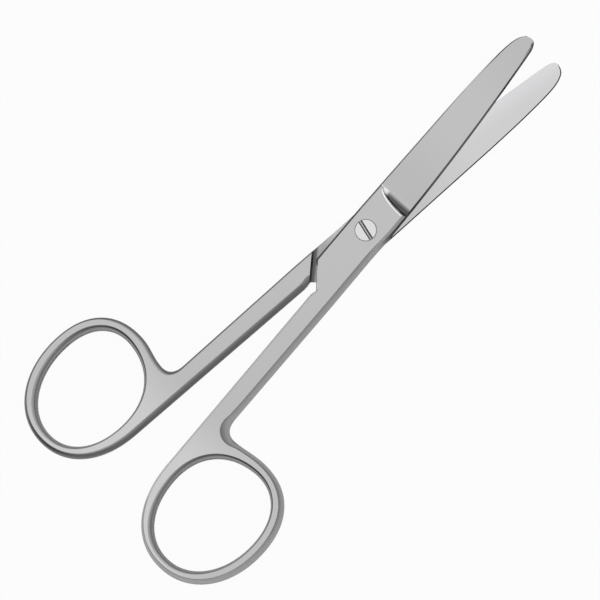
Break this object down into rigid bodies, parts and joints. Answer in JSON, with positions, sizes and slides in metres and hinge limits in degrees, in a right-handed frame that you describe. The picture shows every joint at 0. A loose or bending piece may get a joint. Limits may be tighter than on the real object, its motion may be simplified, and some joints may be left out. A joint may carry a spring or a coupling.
{
  "type": "ear cropping scissors",
  "caption": "Blunt-tipped surgical scissors: ground blades, a lap joint on a flush slotted pivot screw, straight shanks and leaning oval finger rings.",
  "frame": {"origin": "on the pivot axis, at the screw's lower end and in the plane of the rear half's joint face", "axes": "+Z along the pivot axis towards the screw's head, +Y to the blade tips halfway between the two halves, +X to the right with the head towards the viewer"},
  "size_m": [0.0674, 0.1439, 0.0044],
  "materials": {
    "front_steel": "satin",
    "rear_steel": "satin",
    "screw_steel": "satin"
  },
  "bodies": {
    "rear_body": {"rear_half": "rear_steel", "pivot_screw": "screw_steel"},
    "front_body": {"front_half": "front_steel"}
  },
  "joints": [
    {"name": "blade_pivot", "type": "hinge", "parent": "rear_body", "child": "front_body", "pos_m": [0, 0, 0.0022], "axis": [0, 0, 1], "range_deg": [-4.7, 110]}
  ]
}
